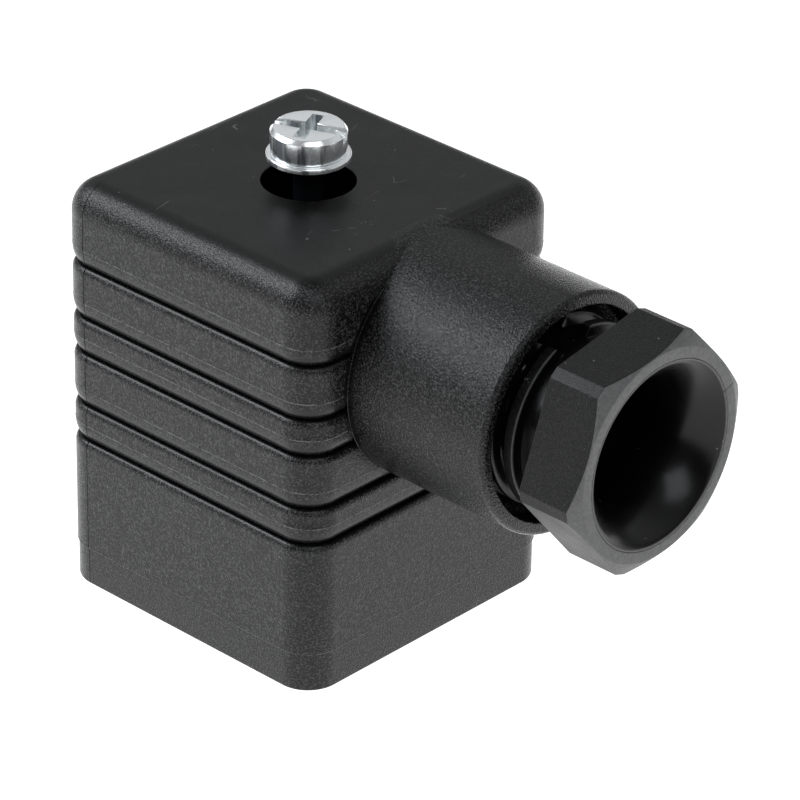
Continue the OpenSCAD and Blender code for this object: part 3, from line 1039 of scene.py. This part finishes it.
# -------------------- insert, gasket, terminals

def barrier_cross(flange_w):
    """Two crossed walls between the terminals, trimmed to the flange's outline."""
    low, high = (-20, -0.7, DECK_Z - 1), (20, 0.7, WALL_TOP)
    walls = [spin(block("wall", low, high), turn) for turn in (math.pi / 4, -math.pi / 4)]
    trim_z = (DECK_Z - 0.9, WALL_TOP - 0.1)
    trim = [square_ring(flange_w, CORNER_R - WALL + 0.1, z, 0.01, 8) for z in trim_z]
    return combine(join(*walls), "INTERSECT", skinned("trim", trim))


def contact_way(face, turn):
    """Cutters of one contact's pocket and of its eased mouth in the face."""
    low, high = (CONTACT_R - 1.2, -POCKET_HALF_W, face + 0.9), (CONTACT_R + 1.2, POCKET_HALF_W, DECK_Z + 5)
    corners = square_corners(0.7, POCKET_HALF_W)
    levels = ((face - 0.1, 1.09), (face + 0.3, 1), (face + 1.5, 1))
    mouth = [[(CONTACT_R + x * k, y * k, z) for x, y in corners] for z, k in levels]
    return spin(block("pocket", low, high), turn), spin(skinned("mouth", mouth), turn)


def contact_insert(material):
    """Moulded block that carries the contacts: plug below, keyed flange, walls and column above."""
    plug_w, flange_w = CAVITY_W - 3, CAVITY_W - 0.2
    face, flange = INSERT_LOW.z, GASKET_HIGH.z
    levels = ((face, 0.25), (face + 0.08, 0.08), (face + 0.25, 0), (flange, 0), (flange + 0.5, 0))
    body = skinned("insert_moulding", [square_ring(plug_w, 1.2, z, i, 8) for z, i in levels])
    levels = ((flange, 0.1), (flange + 0.1, 0), (DECK_Z - 0.2, 0), (DECK_Z - 0.06, 0.06), (DECK_Z, 0.2))
    rings = [square_ring(flange_w, CORNER_R - WALL + 0.1, z, i, 8) for z, i in levels]
    join(body, skinned("flange", rings))
    for turn in range(4):
        low, high = (flange_w / 2 - 1, -1.45, flange + 0.1), (flange_w / 2 + 0.4, 1.45, DECK_Z - 0.01)
        join(body, spin(block("key", low, high), turn * math.pi / 2))
    join(body, barrier_cross(flange_w))
    column = [(4.4, DECK_Z - 1), (4.4, INSERT_HIGH.z - 0.15), (4.25, INSERT_HIGH.z)]
    join(body, turned_z("column", column))
    cut(body, turned_z("way", [(SCREW_WAY_R, -1), (SCREW_WAY_R, INSERT_HIGH.z + 1)]))
    recess = [(3.35, face - 1), (3.35, face), (3.2, face + 0.15), (3.2, face + 1.4)]
    cut(body, turned_z("face_recess", recess))
    for degrees in TERMINALS.values():
        cut(body, *contact_way(face, math.radians(degrees)))
    round_edges(body, 0.06, 1, 50)
    return place(body, "contact_insert", "insert", material)


def flange_gasket(material):
    """Square rubber ring with two beads on the face that meets the coil."""
    low, high = GASKET_LOW.z, GASKET_HIGH.z
    outer_w = CAVITY_W - 0.2
    rim = (outer_w - (CAVITY_W - 2.9)) / 2
    corners = [(0, high, 0.2), (0, low + 0.3, 0.2), (rim * 0.3, low, 0.15), (rim * 0.5, low + 0.3, 0.15)]
    corners += [(rim * 0.7, low, 0.15), (rim, low + 0.3, 0.2), (rim, high, 0.2)]
    rings = [square_ring(outer_w, 1.6, z, inset, 10) for inset, z in rounded_path(corners, 3)]
    piece = skinned("gasket_beaded", rings, wrap=True)
    return place(piece, "flange_gasket", "insert", material, 50)


def contact_leaf(side, low, web):
    """Outline in (x, z) of one springy leaf and its half of the web."""
    mouth, grip, lobe = low, low + 1.4, web + 0.45
    corners = [(0.7, mouth, 0.1), (1.05, mouth, 0.1), (0.7, grip, 0.4), (0.9, lobe, 0.3)]
    corners += [(-0.1, lobe, 0), (-0.1, web, 0), (0.55, web, 0.25), (0.35, grip, 0.4)]
    return rounded_path([(CONTACT_R + side * x, z, r) for x, z, r in corners], 3)


def contact(tag, turn, material):
    """Bent fork that grips one blade: two leaves and a web."""
    low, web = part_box("contact_" + tag)[0].z / MM, 8.6
    piece = prism_y("contact_fork_" + tag, contact_leaf(1, low, web), -3, 3)
    join(piece, prism_y("leaf", contact_leaf(-1, low, web), -3, 3))
    for y in (-1.5, 0, 1.5):
        cut(piece, block("gap", (CONTACT_R - 2, y - 0.12, low - 1), (CONTACT_R + 2, y + 0.12, low + 4.2)))
    join(piece, block("tail", (CONTACT_R - 0.5, -2, web + 0.2), (CONTACT_R + 0.5, 2, DECK_Z)))
    round_edges(piece, 0.05, 1, 50)
    spin(piece, turn)
    return place(piece, "contact_" + tag, "insert", material)


def terminal_box(tag, turn, material):
    """Brass cage with a window for the wire and a countersunk screw hole."""
    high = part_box("terminal_box_" + tag)[1].z / MM
    piece = block("terminal_frame_" + tag, (-2.7, -3.1, DECK_Z), (2.7, 3.1, high))
    window_x, window_mid, window_half, window_r = 1.75, DECK_Z + 2.55, 1.75, 0.35
    corners = [(x, window_mid + z, window_r) for x, z in square_corners(window_x, window_half)]
    cut(piece, prism_y("window", rounded_path(corners), -5, 5))
    hole_r, sink_r = 1.27, 1.55
    hole = [(hole_r, DECK_Z + 3), (hole_r, high - 0.25), (sink_r, high + 0.05), (sink_r, high + 1)]
    cut(piece, turned_z("hole", hole, steps=40))
    round_edges(piece, 0.12, 2, 50)
    move_out(piece, TERMINAL_R, turn)
    return place(piece, "terminal_box_" + tag, "insert", material)


def clamp_plate(tag, turn, material):
    """Small pressed plate with a saddle that the terminal screw drives down."""
    low, high = (c.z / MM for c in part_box("clamp_plate_" + tag))
    left = [(-1.65, high, 0.1), (-1.65, low, 0.15), (-0.5, low + 0.12, 0.2)]
    right = [(-x, z, r) for x, z, r in left[::-1]]
    piece = prism_y("clamp_saddle_" + tag, rounded_path(left + right, 3), -3.4, 3.4)
    for side in (-1, 1):
        cut(piece, block("waist", (-3, side * 3.42 - 0.14, low - 1), (-1.1, side * 3.42 + 0.14, high + 1)))
    round_edges(piece, 0.08, 2, 50)
    move_out(piece, TERMINAL_R, turn)
    return place(piece, "clamp_plate_" + tag, "clamp_" + tag, material)


def terminal_screw(tag, turn, material):
    """M2.5 slotted screw, turned a little differently at each terminal."""
    low, high = (c.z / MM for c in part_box("terminal_screw_" + tag))
    head, steps = high - 1.5, 32
    crest, root, pitch, neck = 1.19, 0.95, 0.45, 0.98
    rings = metric_shank(low, head, head - 0.3, crest, root, pitch, neck, steps)
    corners = [(1.0, head + 0.01, 0), (2.1, head + 0.01, 0.1), (2.1, high, 0.35), (0.4, high, 0)]
    rings += [ring_z(r, z, steps) for r, z in rounded_path(corners, closed=False)]
    piece = skinned("terminal_screw_m2p5_" + tag, rings)
    cut(piece, drive(high, 0.6, 6, 0.8, 0.4 + turn * 0.7))
    round_edges(piece, 0.04, 2, 45)
    move_out(piece, TERMINAL_R, turn)
    return place(piece, "terminal_screw_" + tag, "terminal_screw_" + tag, material, 40)


# -------------------- stage

def camera():
    """Camera at the photograph's angle, with its small roll."""
    right = Vector((math.cos(CAMERA_AZIMUTH), math.sin(CAMERA_AZIMUTH), 0))
    level_back = Vector((math.sin(CAMERA_AZIMUTH), -math.cos(CAMERA_AZIMUTH), 0))
    back = level_back * math.cos(CAMERA_ELEVATION) + Vector((0, 0, math.sin(CAMERA_ELEVATION)))
    up = back.cross(right)
    turned_right = math.cos(CAMERA_ROLL) * right + math.sin(CAMERA_ROLL) * up
    turned_up = math.cos(CAMERA_ROLL) * up - math.sin(CAMERA_ROLL) * right
    data = bpy.data.cameras.new("camera")
    data.sensor_width = 36
    data.lens = CAMERA_LENS
    data.clip_start = 0.01
    view = new_object("camera", data)
    pose = Matrix((turned_right, turned_up, back)).transposed().to_4x4()
    pose.translation = CAMERA_AIM + back * CAMERA_DISTANCE
    view.matrix_world = pose
    bpy.context.scene.camera = view


def floor():
    """Wide white floor: bright, so that it shows no shadow, and low, to leave the pulled insert in view."""
    mesh = bpy.data.meshes.new("floor")
    reach_m = 6
    corners = [(x, y, -FLOOR_DROP * MM) for x, y in square_corners(reach_m, reach_m)]
    mesh.from_pydata(corners, [], [(0, 1, 2, 3)])
    n = Nodes("floor_white")
    n.set(Base_Color=(*grey(0.3), 1), Roughness=0.9)
    n.set(Emission_Color=(*grey(1), 1), Emission_Strength=FLOOR_GLOW)
    n.shader.inputs["Specular IOR Level"].default_value = 0.1
    mesh.materials.append(n.material)
    new_object("floor", mesh)


def softbox(name, direction, distance, size, power):
    """Rectangular lamp, in metres and watts, that faces the part from a direction."""
    data = bpy.data.lights.new(name, "AREA")
    data.shape = "RECTANGLE"
    data.size, data.size_y = size
    data.energy = power
    data.color = LAMP_COLOUR
    lamp = new_object(name, data)
    way = Vector(direction).normalized()
    lamp.location = LAMP_AIM + way * distance
    lamp.rotation_mode = "QUATERNION"
    lamp.rotation_quaternion = way.to_track_quat("Z", "Y")


def studio_world():
    """Pale surroundings that change with height and are dark on the camera's side."""
    world = bpy.data.worlds.new("studio")
    bpy.context.scene.world = world
    world.use_nodes = True
    tree = world.node_tree
    background = tree.nodes["Background"]
    way = tree.nodes.new("ShaderNodeSeparateXYZ")
    tree.links.new(tree.nodes.new("ShaderNodeTexCoord").outputs["Generated"], way.inputs["Vector"])
    fade = tree.nodes.new("ShaderNodeValToRGB")
    tree.links.new(way.outputs["Z"], fade.inputs["Fac"])
    steps = fade.color_ramp.elements
    for index, (height, brightness) in enumerate(WORLD_LEVELS):
        step = steps[index] if index < 2 else steps.new(height)
        step.position = height
        step.color = (*grey(brightness), 1)
    toward = tree.nodes.new("ShaderNodeVectorMath")
    toward.operation = "DOT_PRODUCT"
    tree.links.new(way.inputs["Vector"].links[0].from_socket, toward.inputs[0])
    toward.inputs[1].default_value = DARK_SIDE
    shade = tree.nodes.new("ShaderNodeMapRange")
    tree.links.new(toward.outputs["Value"], shade.inputs["Value"])
    shade.inputs["To Min"].default_value = 1
    shade.inputs["To Max"].default_value = DARK_LEVEL
    level = tree.nodes.new("ShaderNodeMath")
    level.operation = "MULTIPLY"
    tree.links.new(fade.outputs["Color"], level.inputs[0])
    tree.links.new(shade.outputs["Result"], level.inputs[1])
    tree.links.new(level.outputs["Value"], background.inputs["Strength"])
    background.inputs["Color"].default_value = (0.97, 0.985, 1, 1)


def lights():
    """World and lamps, with colours shown as they are."""
    studio_world()
    softbox("key", (-0.6, -0.48, 0.64), 0.45, (0.3, 0.22), 1.45)
    softbox("side", (0.62, -0.34, 0.71), 0.6, (0.4, 0.32), 0.9)
    bpy.context.scene.view_settings.view_transform = "Standard"


# -------------------- making

camera()
rubber, zinc, tin, brass = gasket_rubber(), zinc_steel(), tinned_contact(), brass_terminal()
housing(housing_plastic())
gland_nut(nut_plastic())
thrust_ring(ring_plastic())
grommet(rubber)
fixing_screw(zinc)
fixing_washer(zinc)
fixing_seal(rubber)
contact_insert(insert_plastic())
flange_gasket(rubber)
for tag, degrees in TERMINALS.items():
    turn = math.radians(degrees)
    contact(tag, turn, tin)
    terminal_box(tag, turn, brass)
    clamp_plate(tag, turn, tin)
    terminal_screw(tag, turn, zinc)
floor()
lights()
